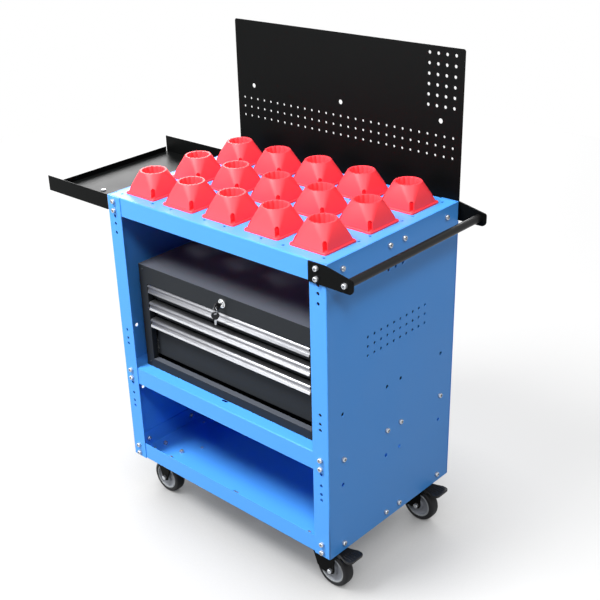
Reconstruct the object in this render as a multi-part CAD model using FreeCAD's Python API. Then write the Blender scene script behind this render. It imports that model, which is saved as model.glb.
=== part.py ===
import FreeCAD
import Part
import math
import os

# Workshop tool cart: a folded-sheet cabinet on casters with rows of tool cups, a hanging board,
# a side tray, a push handle and a drawer chest. Sizes are in millimetres, X to the right,
# Y to the back and Z up from the floor, with the cabinet's middle at X = 0 and Y = 0 while it is drawn.

# Cabinet
CABINET_WIDTH = 600.0
CABINET_DEPTH = 400.0
PANEL_HEIGHT = 640.0
SHEET = 1.5
BEND = 2.5
FLANGE = 40.0
PAN_HEIGHT = 40.0
CORNER_RELIEF = 4.0
SHELF_DROP = 400.0
SPARE_DROPS = [300.0, 460.0]
BACK_GAP = 1.0
SLOT_LENGTH = 17.0
SLOT_WIDTH = 5.0
SLOT_X = -6.0
SHELF_SLOT_INSET = 26.0
FLOOR_SLOT_INSET = 41.0

# Bolt heads and the open holes in the sheets
BOLT_HEAD_R = 5.3
BOLT_HEAD_HEIGHT = 6.0
OPEN_HOLE_R = 3.6
HOLE_SIDES = 4
FLANGE_BOLT_DROPS = [10.0, 30.0]
UPPER_SPARE_DROP = 50.0
LATCH_HOLE_DROP = 43.5
SIDE_BOLT_DROP = 20.0
SIDE_BOLT_INSET = 42.0
SIDE_BOLT_MIDDLE = 22.0

# Vents and accessory holes in the side panels
VENT_R = 2.5
VENT_PITCH = 20.0
VENT_COLUMNS = 10
VENT_ROWS = 3
VENT_CENTRE_Y = 7.0
VENT_TOP_DROP = 186.0
ACCESSORY_PITCH = 22.0
ACCESSORY_DROP = 69.0

# Hanging board
BOARD_RISE = 295.0
BOARD_CORNER = 5.0
BOARD_PITCH = 20.0
BOARD_SIDE_MARGIN = 20.0
BAND_R = 2.5
BAND_ROWS = 3
BAND_RISE = 123.0
BLOCK_R = 3.25
BLOCK_COLUMNS = 4
BLOCK_ROWS = 6
BLOCK_RISE = 281.0
HANG_R = 5.0
HANG_RISE = 152.7
HANG_INSET = 50.0

# Tool cups
CUP_FOOT = 88.0
CUP_FOOT_HEIGHT = 4.0
CUP_LEDGE = 2.0
CUP_HEIGHT = 48.0
CUP_RING_R = 28.5
CUP_BORE_R = 23.0
CUP_COLUMNS = 5
CUP_ROWS = ["front", "middle", "back"]
DECK_MARGIN_X = 12.5
DECK_MARGIN_Y = 9.5
CUP_SIDES = 16
DECK_HOLE_R = 28.0

# Side tray
TRAY_WIDTH = 207.0
TRAY_BACK_INSET = 49.0
TRAY_FLOOR_DROP = 32.0
TRAY_FRONT_LIP = 34.0
TRAY_BACK_LIP = 40.0
TRAY_SIDE_LIP = 12.0
TRAY_FLANGE = 53.0

# Push handle
HANDLE_REACH = 62.0
HANDLE_PLATE = 3.0
HANDLE_BAR_R = 8.0
HANDLE_BAR_REACH = 45.0
HANDLE_BAR_DROP = 25.0
HANDLE_TOP_GAP = 1.0
HANDLE_SLOPE = 13.0
HANDLE_NOSE_R = 10.0
HANDLE_TIP_R = 5.0
HANDLE_KNEE_R = 20.0

# Chest and drawers
CHEST_WIDTH = 512.0
CHEST_DEPTH = 300.0
CHEST_HEIGHT = 246.0
CHEST_SETBACK = 29.0
CHEST_SHEET = 1.0
FRAME_SIDE = 24.0
FRAME_TOP = 42.0
FRAME_BOTTOM = 21.0
FRAME_RETURN = 14.0
DRAWER_HEIGHTS = [39.0, 39.0, 94.0]
DRAWER_GAP = 2.0
DRAWER_CLEAR = 1.5
DRAWER_RECESS = 16.0
DRAWER_DEPTH = 270.0
DRAWER_WALL_DROP = 9.0
DRAWER_FOLD = 12.0
DRAWER_BEND = 3.0
DRAWER_TOP_GAP = 1.0
PULL_REACH = 17.5
PULL_HEIGHT = 19.0
RUNNER_HEIGHT = 16.0
RUNNER_DEPTH = 9.0
RUNNER_GAP = 0.2
RUNNER_RISE = 18.0
RUNNER_SIDE_GAP = 1.0
CHANNEL_DEPTH = 19.0
CHANNEL_SETBACK = 2.0
SLIDE_LENGTH = 260.0
SLIDE_SETBACK = 5.0
POST_WIDTH = 20.0

# Lock and key
LOCK_DROP = 19.0
LOCK_R = 8.0
LOCK_SIDES = 8
LOCK_BEZEL_R = 10.0
LOCK_BEZEL = 3.0
LOCK_LENGTH = 21.0
PLUG_R = 6.0
PLUG_PROUD = 1.0
PLUG_TAIL = 4.0
KEYWAY_WIDTH = 1.8
KEYWAY_HEIGHT = 7.2
KEYWAY_DEPTH = 20.0
KEY_THICKNESS = 1.4
KEY_HEIGHT = 6.4
KEY_INSERT = 18.0
KEY_NECK = 3.0
KEY_BOW = 18.0
KEY_BOW_THICKNESS = 4.0
KEY_EYE_R = 2.5
KEY_EYE_INSET = 5.0
CAM_LENGTH = 26.0
CAM_WIDTH = 12.0
CAM_TAPER = 2.0
CAM_THICKNESS = 2.0

# Casters
CASTER_INSET_X = 58.0
CASTER_INSET_Y = 52.0
CASTER_TRAIL = 28.0
CASTER_HEAD = 24.0
PLATE_LENGTH = 80.0
PLATE_WIDTH = 57.0
PLATE_THICKNESS = 2.5
PLATE_HOLES_X = 57.0
PLATE_HOLES_Y = 35.0
WHEEL_R = 40.0
WHEEL_WIDTH = 25.0
WHEEL_SIDES = 20
TREAD_WIDTH = 17.0
SHOULDER_R = 37.0
CORE_R = 30.0
HUB_LENGTH = 27.0
HUB_R = 12.0
AXLE_R = 4.0
AXLE_NUT_R = 7.5
AXLE_NUT = 6.0
FORK_SHEET = 2.5
FORK_GAP = 28.0
FORK_TIP_R = 9.0
FORK_WEB = 3.0
FORK_WEB_R = 25.0
FORK_HOLE_GAP = 0.8
FIXED_FORK_HALF = 30.0
SWIVEL_FORK_BACK = 22.0
SWIVEL_FORK_FRONT = 43.0
FORK_SLANT = 3.0
FORK_KNEE_DROP = 25.0
FORK_HEEL_FOOT = 1.0
FORK_HEEL_BACK = 8.0
SWIVEL_HEAD = 9.0
RACE_R = 22.0
KING_PIN_R = 5.0
KING_PIN_HEAD_R = 9.0
KING_PIN_HEAD = 3.0
PEDAL_PIN_R = 2.5
PEDAL_PIN_HEAD_R = 4.0
PEDAL_PIN_HEAD = 2.0
PEDAL_PIN_X = 36.0
PEDAL_PIN_DROP = 8.0
PEDAL_HUB = 5.0
PEDAL_RISE = 4.0
PEDAL_THICKNESS = 5.0
PEDAL_ROOT_RISE = 2.0
PEDAL_NECK_X = 46.0
# Plan of the pedal's tread: distance from the swivel's axis and half width there
PEDAL_PLAN = [(58.0, 17.0), (70.0, 22.0), (79.0, 22.0), (84.0, 19.5), (86.0, 14.5)]
SHOE_REACH = 14.0
SHOE_DEPTH = 7.4
SHOE_SLANT = 1.0
SHOE_BACK = 3.0
PIN_SIDES = 12
RUNNING_CLEARANCE = 0.05
END_CLEARANCE = 0.3

# Places that several pieces share
CASTER_HEIGHT = 2 * WHEEL_R + CASTER_HEAD
FORK_TOP = CASTER_HEIGHT - SWIVEL_HEAD
PEDAL_PIN_Z = FORK_TOP - PEDAL_PIN_DROP
DECK_TOP = CASTER_HEIGHT + PANEL_HEIGHT
SHELF_TOP = DECK_TOP - SHELF_DROP
BOTTOM_TOP = CASTER_HEIGHT + PAN_HEIGHT
PAN_TOPS = [DECK_TOP, SHELF_TOP, BOTTOM_TOP]
SPARE_TOPS = [DECK_TOP - drop for drop in SPARE_DROPS]
HALF_WIDTH = CABINET_WIDTH / 2
HALF_DEPTH = CABINET_DEPTH / 2
FLANGE_BOLT_X = HALF_WIDTH - FLANGE / 2
REAR_FACE = HALF_DEPTH + SHEET
BOARD_FOOT = DECK_TOP - PAN_HEIGHT
ROW_SHIFT = (TRAY_WIDTH - HANDLE_REACH) / 2
SIDE_BOLT_EDGE = HALF_DEPTH - SIDE_BOLT_INSET
SIDE_BOLT_Y = [-SIDE_BOLT_EDGE, -SIDE_BOLT_MIDDLE, SIDE_BOLT_MIDDLE, SIDE_BOLT_EDGE]
ACCESSORY_Y = [-ACCESSORY_PITCH, 0.0, ACCESSORY_PITCH]
CHEST_FRONT_Y = CHEST_SETBACK - HALF_DEPTH
CASTER_X = HALF_WIDTH - CASTER_INSET_X
CASTER_Y = HALF_DEPTH - CASTER_INSET_Y
CORNERS = [(side, end) for side in (-1, 1) for end in (-1, 1)]

V = FreeCAD.Vector
RIGHT = V(1, 0, 0)
BACK = V(0, 1, 0)
UP = V(0, 0, 1)

os.makedirs("parts", exist_ok=True)


def save(name, *solids):
    """Write one node; several solids stay separate inside it. The row is centred on the floor here."""
    node = solids[0] if len(solids) == 1 else Part.makeCompound(list(solids))
    moved = node.copy()
    moved.translate(V(ROW_SHIFT, 0, 0))
    moved.exportStep("parts/" + name + ".step")


def mirrored(shape):
    """The same piece on the other side of the cabinet."""
    return shape.mirror(V(0, 0, 0), RIGHT)


def box(x0, x1, y0, y1, z0, z1):
    """A block between three pairs of limits."""
    return Part.makeBox(x1 - x0, y1 - y0, z1 - z0, V(x0, y0, z0))


def prism(sides, radius, start, way, length):
    """A straight bar with regular flat sides, from a start point along one way."""
    step = 2 * math.pi / sides
    ring = [V(radius * math.cos(i * step), radius * math.sin(i * step), 0) for i in range(sides + 1)]
    solid = Part.Face(Part.makePolygon(ring)).extrude(V(0, 0, length))
    solid.Placement = FreeCAD.Placement(start, FreeCAD.Rotation(UP, way))
    return solid


def rod(radius, start, way, length):
    """A round bar from a start point along one way."""
    return Part.makeCylinder(radius, length, start, way)


def pin(radius, start, way, length):
    """A pin whose roundness is a row of flats."""
    return prism(PIN_SIDES, radius, start, way, length)


def pin_bore(radius, start, way, length):
    """The bore for such a pin: its flats stay clear of the pin's edges as it turns."""
    flats = (radius + RUNNING_CLEARANCE) / math.cos(math.pi / PIN_SIDES)
    return prism(PIN_SIDES, flats, start, way, length)


def corner_arc(before, corner, after, radius):
    """Start, middle and end of the arc that rounds one corner."""
    back = (before - corner).normalize()
    ahead = (after - corner).normalize()
    half = back.getAngle(ahead) / 2
    reach = radius / math.tan(half)
    depth = radius / math.sin(half) - radius
    middle = corner + (back + ahead).normalize() * depth
    return corner + back * reach, middle, corner + ahead * reach


def folded(points, sheet, bend):
    """The cut end of a folded strip: a path whose bends turn in two flats, thickened on its left side."""
    path = points[:1]
    for before, corner, after in zip(points, points[1:], points[2:]):
        path += corner_arc(before, corner, after, bend) if bend else (corner,)
    path.append(points[-1])
    return Part.makePolygon(path).makeOffset2D(-sheet, 2, True, True, False)


def outline(corners):
    """A flat closed outline; each corner is x, y and the radius that rounds it."""
    points = [V(x, y, 0) for x, y, radius in corners]
    edges = []
    ends = []
    for i, (x, y, radius) in enumerate(corners):
        if radius == 0:
            ends.append((points[i], points[i]))
            continue
        first, middle, last = corner_arc(points[i - 1], points[i], points[(i + 1) % len(points)], radius)
        edges.append(Part.Arc(first, middle, last).toShape())
        ends.append((first, last))
    for i, (arrive, leave) in enumerate(ends):
        edges.append(Part.makeLine(leave, ends[(i + 1) % len(ends)][0]))
    return Part.Face(Part.Wire(Part.__sortEdges__(edges)))


def bar(face, across, up, start, length):
    """Push a flat outline along its normal after turning its X and Y to two given directions."""
    along = across.cross(up)
    solid = face.extrude(V(0, 0, length))
    solid.Placement = FreeCAD.Placement(along * start, FreeCAD.Rotation(across, up, along, "XYZ"))
    return solid


def closed(loops):
    """A solid closed by flat faces, each given as a loop of points."""
    shell = Part.Shell([Part.Face(Part.makePolygon(loop + loop[:1])) for loop in loops])
    shell.sewShape()
    return Part.Solid(shell)


def faceted(stations, centre):
    """A wheel-like solid with flat sides, through rings given as radius and place along the axle."""
    step = 2 * math.pi / WHEEL_SIDES
    rings = []
    for radius, y in stations:
        ring = [V(radius * math.cos(i * step), y, radius * math.sin(i * step)) for i in range(WHEEL_SIDES)]
        rings.append([point + centre for point in ring])
    loops = [rings[0], rings[-1]]
    for near, far in zip(rings, rings[1:]):
        loops += [[near[i - 1], near[i], far[i], far[i - 1]] for i in range(WHEEL_SIDES)]
    return closed(loops)


def only(shape):
    """The single solid left after joining or cutting, with its split faces merged."""
    return shape.removeSplitter().Solids[0]


# Bolts: socket heads on the outer face of each stack of sheets, given as a seat and the way out.
def frame_bolt_places():
    places = []
    for top in PAN_TOPS:
        for side in (-1, 1):
            handle = HANDLE_PLATE if top == DECK_TOP and side == 1 else 0.0
            for drop in FLANGE_BOLT_DROPS:
                x = side * FLANGE_BOLT_X
                places.append((V(x, -HALF_DEPTH - handle, top - drop), -BACK))
                places.append((V(x, REAR_FACE + handle, top - drop), BACK))
            for y in SIDE_BOLT_Y:
                places.append((V(side * HALF_WIDTH, y, top - SIDE_BOLT_DROP), RIGHT * side))
    places += [(V(-HALF_WIDTH - SHEET, y, DECK_TOP - ACCESSORY_DROP), -RIGHT) for y in ACCESSORY_Y]
    return places


def caster_bolt_places():
    places = []
    for side, end in CORNERS:
        for dx in (-PLATE_HOLES_X / 2, PLATE_HOLES_X / 2):
            for dy in (-PLATE_HOLES_Y / 2, PLATE_HOLES_Y / 2):
                places.append((V(side * CASTER_X + dx, end * CASTER_Y + dy, CASTER_HEIGHT + SHEET), UP))
    return places


def bolt_head(place):
    seat, way = place
    return prism(6, BOLT_HEAD_R, seat, way, BOLT_HEAD_HEIGHT)


save("frame_bolts", *[bolt_head(place) for place in frame_bolt_places()])
save("caster_bolts", *[bolt_head(place) for place in caster_bolt_places()])


# Side panels: one folded C each, with open holes for other shelf heights, vents and accessories.
def side_panel():
    inner = HALF_WIDTH - FLANGE
    front_half = [V(inner, -HALF_DEPTH), V(HALF_WIDTH, -HALF_DEPTH)]
    path = front_half + [V(HALF_WIDTH, HALF_DEPTH), V(inner, HALF_DEPTH)]
    panel = bar(folded(path, SHEET, BEND), RIGHT, BACK, CASTER_HEIGHT, PANEL_HEIGHT)
    flange_z = [DECK_TOP - UPPER_SPARE_DROP - drop for drop in FLANGE_BOLT_DROPS]
    flange_z += [top - drop for top in SPARE_TOPS for drop in FLANGE_BOLT_DROPS]
    flange_z += [top - LATCH_HOLE_DROP for top in [DECK_TOP, SHELF_TOP] + SPARE_TOPS]
    side_holes = [(y, top - SIDE_BOLT_DROP, OPEN_HOLE_R) for top in SPARE_TOPS for y in SIDE_BOLT_Y]
    side_holes += [(y, DECK_TOP - ACCESSORY_DROP, OPEN_HOLE_R) for y in ACCESSORY_Y]
    for column in range(VENT_COLUMNS):
        y = VENT_CENTRE_Y + (column - (VENT_COLUMNS - 1) / 2) * VENT_PITCH
        for row in range(VENT_ROWS):
            side_holes.append((y, DECK_TOP - VENT_TOP_DROP - row * VENT_PITCH, VENT_R))
    front = -HALF_DEPTH - SHEET
    right = HALF_WIDTH + SHEET
    cuts = [prism(HOLE_SIDES, OPEN_HOLE_R, V(FLANGE_BOLT_X, front, z), BACK, 3 * SHEET) for z in flange_z]
    cuts += [prism(HOLE_SIDES, radius, V(right, y, z), -RIGHT, 3 * SHEET) for y, z, radius in side_holes]
    return only(panel.cut(cuts))


right_panel = side_panel()
save("right_side_panel", right_panel)
save("left_side_panel", mirrored(right_panel))


# Pans: the deck and the shelves share one folded form with four skirts and open corners.
def pan(top):
    x = HALF_WIDTH - SHEET
    y = HALF_DEPTH - SHEET
    foot = top - PAN_HEIGHT
    long_path = [V(y, foot), V(y, top), V(-y, top), V(-y, foot)]
    cross_path = [V(x, foot), V(x, top), V(-x, top), V(-x, foot)]
    long_bar = bar(folded(long_path, SHEET, BEND), BACK, UP, CORNER_RELIEF - x, 2 * (x - CORNER_RELIEF))
    cross_bar = bar(folded(cross_path, SHEET, BEND), RIGHT, UP, CORNER_RELIEF - y, 2 * (y - CORNER_RELIEF))
    return long_bar.fuse(cross_bar)


cup_pitch_x = 2 * (HALF_WIDTH - DECK_MARGIN_X) / CUP_COLUMNS
cup_pitch_y = 2 * (HALF_DEPTH - DECK_MARGIN_Y) / len(CUP_ROWS)
cup_x = [(i - (CUP_COLUMNS - 1) / 2) * cup_pitch_x for i in range(CUP_COLUMNS)]
cup_rows = [(name, (i - 1) * cup_pitch_y) for i, name in enumerate(CUP_ROWS)]
cup_places = [V(x, y, DECK_TOP - 2 * SHEET) for name, y in cup_rows for x in cup_x]
deck_holes = [prism(6, DECK_HOLE_R, place, UP, 3 * SHEET) for place in cup_places]
save("top_deck", only(pan(DECK_TOP).cut(deck_holes)))


def slot(inset):
    """A short slot across the shelf near its front edge."""
    x = SLOT_X - SLOT_LENGTH / 2
    y = inset - HALF_DEPTH - SLOT_WIDTH / 2
    return box(x, x + SLOT_LENGTH, y, y + SLOT_WIDTH, 0, DECK_TOP)


save("middle_shelf", only(pan(SHELF_TOP).cut(slot(SHELF_SLOT_INSET))))
bottom = pan(BOTTOM_TOP).mirror(V(0, 0, BOTTOM_TOP - PAN_HEIGHT / 2), UP)
save("bottom_shelf", only(bottom.cut(slot(FLOOR_SLOT_INSET))))

# Back panel: a flat sheet over the rear flanges, ending just below the hanging board.
back = box(-HALF_WIDTH, HALF_WIDTH, HALF_DEPTH, REAR_FACE, CASTER_HEIGHT, BOARD_FOOT - BACK_GAP)
save("back_panel", back)


# Hanging board: a sheet with a band of small holes, a block of larger ones and three hanging holes.
def hanging_board():
    top = DECK_TOP + BOARD_RISE
    sheet = outline([(-HALF_WIDTH, BOARD_FOOT, 0), (HALF_WIDTH, BOARD_FOOT, 0),
                     (HALF_WIDTH, top, BOARD_CORNER), (-HALF_WIDTH, top, BOARD_CORNER)])
    board = bar(sheet, RIGHT, UP, -REAR_FACE, SHEET)
    edge = HALF_WIDTH - BOARD_SIDE_MARGIN
    hang_edge = HALF_WIDTH - HANG_INSET
    holes = [(x, HANG_RISE, HANG_R) for x in (-hang_edge, 0.0, hang_edge)]
    for column in range(int(2 * edge / BOARD_PITCH) + 1):
        x = column * BOARD_PITCH - edge
        holes += [(x, BAND_RISE - row * BOARD_PITCH, BAND_R) for row in range(BAND_ROWS)]
    for column in range(BLOCK_COLUMNS):
        x = edge - column * BOARD_PITCH
        holes += [(x, BLOCK_RISE - row * BOARD_PITCH, BLOCK_R) for row in range(BLOCK_ROWS)]
    cuts = [prism(HOLE_SIDES, radius, V(x, HALF_DEPTH - SHEET, DECK_TOP + rise), BACK, 3 * SHEET)
            for x, rise, radius in holes]
    return only(board.cut(cuts))


save("peg_board", hanging_board())


# Tool cups: a square foot that runs into a round ring. Each flank is flat, and each corner is a fan
# that spreads from one foot corner to a quarter of the ring.
def tool_cup():
    half = CUP_FOOT / 2 - CUP_LEDGE
    per_quarter = CUP_SIDES // 4
    ring = []
    for i in range(CUP_SIDES):
        angle = 2 * math.pi * i / CUP_SIDES
        ring.append(V(CUP_RING_R * math.cos(angle), CUP_RING_R * math.sin(angle), CUP_HEIGHT))
    signs = [(1, 1), (-1, 1), (-1, -1), (1, -1)]
    foot = [V(half * x, half * y, CUP_FOOT_HEIGHT) for x, y in signs]
    triangles = []
    for quarter, corner in enumerate(foot):
        first = quarter * per_quarter
        for i in range(first, first + per_quarter):
            triangles.append([corner, ring[i], ring[(i + 1) % CUP_SIDES]])
        triangles.append([corner, foot[(quarter + 1) % 4], ring[(first + per_quarter) % CUP_SIDES]])
    flanks = closed(triangles + [foot, ring])
    edge = CUP_FOOT / 2
    plate = box(-edge, edge, -edge, edge, 0, CUP_FOOT_HEIGHT)
    bore = rod(CUP_BORE_R, V(0, 0, -SHEET), UP, CUP_HEIGHT + 2 * SHEET)
    return only(flanks.fuse(plate).cut(bore))


cup = tool_cup()
for name, y in cup_rows:
    row = []
    for x in cup_x:
        copy = cup.copy()
        copy.translate(V(x, y, DECK_TOP))
        row.append(copy)
    save("tool_cups_" + name, *row)


# Side tray: a floor with a front lip, a higher back lip, a low outer lip and a flange on the left panel.
def side_tray():
    floor = DECK_TOP - TRAY_FLOOR_DROP
    under = floor - SHEET
    inner = -HALF_WIDTH
    outer = -HALF_WIDTH - TRAY_WIDTH
    front = -HALF_DEPTH
    back = HALF_DEPTH - TRAY_BACK_INSET
    edge = outer + SHEET
    bent = [V(inner, under - TRAY_FLANGE), V(inner, floor), V(edge, floor), V(edge, floor + TRAY_SIDE_LIP)]
    lips = [V(front, under + TRAY_FRONT_LIP), V(front, under), V(back, under), V(back, under + TRAY_BACK_LIP)]
    depth = back - front - 2 * CORNER_RELIEF
    cross_bar = bar(folded(bent, SHEET, 0), RIGHT, UP, CORNER_RELIEF - back, depth)
    long_bar = bar(folded(lips, SHEET, 0), BACK, UP, outer, TRAY_WIDTH - SHEET)
    relief = box(outer - SHEET, outer + CORNER_RELIEF, front + CORNER_RELIEF, back - CORNER_RELIEF,
                 under - SHEET, floor + SHEET)
    return only(cross_bar.fuse(long_bar.cut(relief)))


save("side_tray", side_tray())

# Push handle: two plates under the deck bolts, a round bar between them and a screw in each end.
handle_x = HALF_WIDTH + HANDLE_BAR_REACH
handle_z = DECK_TOP - HANDLE_BAR_DROP
handle_top = DECK_TOP - HANDLE_TOP_GAP
handle_tip = HALF_WIDTH + HANDLE_REACH
handle_root = HALF_WIDTH - FLANGE
plate_outline = outline([(handle_root, BOARD_FOOT, 0), (handle_tip, BOARD_FOOT, HANDLE_NOSE_R),
                         (handle_tip, handle_top - HANDLE_SLOPE, HANDLE_TIP_R),
                         (HALF_WIDTH, handle_top, HANDLE_KNEE_R), (handle_root, handle_top, 0)])
handle_ends = [("front", -HALF_DEPTH, -BACK), ("rear", REAR_FACE, BACK)]
end_screws = []
for name, y, out in handle_ends:
    start = -y if name == "front" else -y - HANDLE_PLATE
    save("handle_plate_" + name, bar(plate_outline, RIGHT, UP, start, HANDLE_PLATE))
    end_screws.append(bolt_head((V(handle_x, y, handle_z) + out * HANDLE_PLATE, out)))
save("handle_bar", rod(HANDLE_BAR_R, V(handle_x, -HALF_DEPTH, handle_z), BACK, HALF_DEPTH + REAR_FACE))
save("handle_screws", *end_screws)

# Chest shell: a sheet box whose front has a framed opening with returned edges.
chest_x = CHEST_WIDTH / 2
chest_back = CHEST_FRONT_Y + CHEST_DEPTH
chest_top = SHELF_TOP + CHEST_HEIGHT
open_x = chest_x - FRAME_SIDE
open_low = SHELF_TOP + FRAME_BOTTOM
open_high = chest_top - FRAME_TOP
wall = CHEST_SHEET
lock_z = chest_top - LOCK_DROP
shell = box(-chest_x, chest_x, CHEST_FRONT_Y, chest_back, SHELF_TOP, chest_top)
hollow_x = chest_x - wall
hollow = box(-hollow_x, hollow_x, CHEST_FRONT_Y + wall, chest_back - wall, SHELF_TOP + wall, chest_top - wall)
return_x = open_x + wall
return_y = CHEST_FRONT_Y + FRAME_RETURN
returns = box(-return_x, return_x, CHEST_FRONT_Y, return_y, open_low - wall, open_high + wall)
opening = box(-open_x, open_x, CHEST_FRONT_Y - wall, return_y + wall, open_low, open_high)
lock_hole = prism(LOCK_SIDES, LOCK_R + END_CLEARANCE, V(0, CHEST_FRONT_Y - wall, lock_z), BACK, 3 * wall)
save("chest_shell", only(shell.cut(hollow).fuse(returns).cut([opening, lock_hole])))

# Slides: posts on the chest walls carry channels, and a runner on each drawer side slides in a channel.
drawer_front = CHEST_FRONT_Y + DRAWER_RECESS
runner_x = open_x - RUNNER_SIDE_GAP
drawer_x = runner_x - RUNNER_DEPTH
front_x = open_x - DRAWER_CLEAR
channel_in = drawer_x + CHANNEL_SETBACK
channel_out = channel_in + CHANNEL_DEPTH
slide_start = drawer_front + SLIDE_SETBACK
post_path = [(chest_x - wall, POST_WIDTH), (channel_out, POST_WIDTH), (channel_out, 0), (chest_x - wall, 0)]
posts = []
for y in (slide_start, slide_start + SLIDE_LENGTH - POST_WIDTH):
    path = [V(x, y + across) for x, across in post_path]
    post = bar(folded(path, CHEST_SHEET, 0), RIGHT, BACK, open_low, open_high - open_low)
    posts += [post, mirrored(post)]
save("slide_posts", *posts)


def slide_section(inner, outer, middle, height):
    """A C section, open towards the drawer, running along one side."""
    low = middle - height / 2
    high = middle + height / 2
    path = [V(inner, low), V(outer, low), V(outer, high), V(inner, high)]
    return bar(folded(path, CHEST_SHEET, 0), RIGHT, UP, -slide_start - SLIDE_LENGTH, SLIDE_LENGTH)


def drawer_pan(low, high):
    """Folded tray with a back wall and a taller front whose lower edge is folded under."""
    base = low + wall
    rim = high - DRAWER_WALL_DROP
    back_y = drawer_front + DRAWER_DEPTH
    tray_path = [V(-drawer_x, rim), V(-drawer_x, base), V(drawer_x, base), V(drawer_x, rim)]
    front_path = [V(drawer_front, high), V(drawer_front, low), V(drawer_front + DRAWER_FOLD, low)]
    tray = bar(folded(tray_path, wall, 0), RIGHT, UP, -back_y, DRAWER_DEPTH - wall)
    rear = box(-drawer_x + wall, drawer_x - wall, back_y - wall, back_y, base, rim)
    front = bar(folded(front_path, wall, DRAWER_BEND), BACK, UP, -front_x, 2 * front_x)
    return only(tray.fuse([rear, front]))


def drawer_pull(high):
    """Extruded pull: a top flange, a rounded nose, a hollow face and a lip to grip behind."""
    def at(out, down):
        return V(drawer_front - out * PULL_REACH, high - down * PULL_HEIGHT)
    edges = [Part.makeLine(at(0, 0), at(0.68, 0)),
             Part.Arc(at(0.68, 0), at(0.89, 0.07), at(0.97, 0.26)).toShape(),
             Part.Arc(at(0.97, 0.26), at(0.82, 0.5), at(0.91, 0.74)).toShape(),
             Part.makeLine(at(0.91, 0.74), at(1, 1))]
    inner = [at(1, 1), at(0.91, 1), at(0.81, 0.73), at(0.73, 0.5), at(0.8, 0.21)]
    inner += [at(0.63, 0.085), at(0, 0.085), at(0, 0)]
    edges += [Part.makeLine(a, b) for a, b in zip(inner, inner[1:])]
    return bar(Part.Face(Part.Wire(edges)), BACK, UP, -front_x, 2 * front_x)


channels = []
drawer_high = open_high - DRAWER_TOP_GAP
for number, height in enumerate(DRAWER_HEIGHTS, start=1):
    drawer_low = drawer_high - height
    slide_z = drawer_low + RUNNER_RISE
    runner = slide_section(drawer_x, runner_x, slide_z, RUNNER_HEIGHT)
    channel = slide_section(channel_in, channel_out, slide_z, RUNNER_HEIGHT + 2 * (RUNNER_GAP + CHEST_SHEET))
    channels += [channel, mirrored(channel)]
    save("drawer_%d" % number, drawer_pan(drawer_low, drawer_high))
    save("drawer_%d_pull" % number, drawer_pull(drawer_high))
    save("drawer_%d_runners" % number, runner, mirrored(runner))
    drawer_high = drawer_low - DRAWER_GAP
save("slide_channels", *channels)

# Lock: a barrel in the top rail, a plug that turns in it with the key, and a cam behind.
plug_front = CHEST_FRONT_Y - LOCK_BEZEL - PLUG_PROUD
plug_back = CHEST_FRONT_Y + LOCK_LENGTH + PLUG_TAIL
plug_length = plug_back - plug_front
barrel = prism(LOCK_SIDES, LOCK_R, V(0, CHEST_FRONT_Y, lock_z), BACK, LOCK_LENGTH)
bezel = prism(2 * LOCK_SIDES, LOCK_BEZEL_R, V(0, CHEST_FRONT_Y - LOCK_BEZEL, lock_z), BACK, LOCK_BEZEL)
plug_bore = pin_bore(PLUG_R, V(0, plug_front, lock_z), BACK, plug_length)
save("lock_barrel", only(barrel.fuse(bezel).cut(plug_bore)))
plug = pin(PLUG_R, V(0, plug_front, lock_z), BACK, plug_length)
keyway_x = KEYWAY_WIDTH / 2
keyway_z = KEYWAY_HEIGHT / 2
keyway_end = plug_front + KEYWAY_DEPTH
keyway = box(-keyway_x, keyway_x, plug_front - PLUG_PROUD, keyway_end, lock_z - keyway_z, lock_z + keyway_z)
save("lock_plug", only(plug.cut(keyway)))
cam_half = CAM_WIDTH / 2
cam_tip = cam_half - CAM_TAPER
cam = outline([(-cam_half, -cam_half, 0), (CAM_LENGTH, -cam_tip, 0),
               (CAM_LENGTH, cam_tip, 0), (-cam_half, cam_half, 0)])
cam = bar(cam, RIGHT, UP, -plug_back - CAM_THICKNESS, CAM_THICKNESS)
cam.translate(V(0, 0, lock_z))
save("lock_cam", cam)
bow_back = plug_front - KEY_NECK
bow_half = KEY_BOW / 2
bow_x = KEY_BOW_THICKNESS / 2
bow = prism(10, bow_half, V(-bow_x, bow_back - bow_half, lock_z), RIGHT, KEY_BOW_THICKNESS)
bow_eye = prism(6, KEY_EYE_R, V(-KEY_BOW, bow_back - KEY_BOW + KEY_EYE_INSET, lock_z), RIGHT, 2 * KEY_BOW)
half_key = KEY_THICKNESS / 2
half_blade = KEY_HEIGHT / 2
key_tip = plug_front + KEY_INSERT
blade = box(-half_key, half_key, bow_back - half_blade, key_tip, lock_z - half_blade, lock_z + half_blade)
save("key", only(bow.fuse(blade).cut(bow_eye)))

# Casters: fixed forks on the left, swivel forks with brake pedals on the right.
fork_half = FORK_GAP / 2
fork_out = fork_half + FORK_SHEET
plate_under = CASTER_HEIGHT - PLATE_THICKNESS


def fork_leg(top, tip_x, heel):
    """Both sides of a fork: edges from the top, a blunt tip round the axle and maybe a heel behind it."""
    tip = []
    for i in range(3 if heel else 5):
        angle = math.pi / 4 * i
        tip.append((tip_x + FORK_TIP_R * math.cos(angle), WHEEL_R - FORK_TIP_R * math.sin(angle)))
    face = outline([(x, z, 0) for x, z in top + tip + heel])
    axle_hole = prism(6, AXLE_R + FORK_HOLE_GAP, V(tip_x, -FORK_GAP, WHEEL_R), BACK, 2 * FORK_GAP)
    legs = [bar(face, RIGHT, UP, start, FORK_SHEET) for start in (fork_half, -fork_out)]
    return [leg.cut(axle_hole) for leg in legs]


def top_plate():
    x = PLATE_LENGTH / 2
    y = PLATE_WIDTH / 2
    return box(-x, x, -y, y, plate_under, CASTER_HEIGHT)


def moved(shape, place):
    copy = shape.copy()
    copy.translate(place)
    return copy


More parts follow.
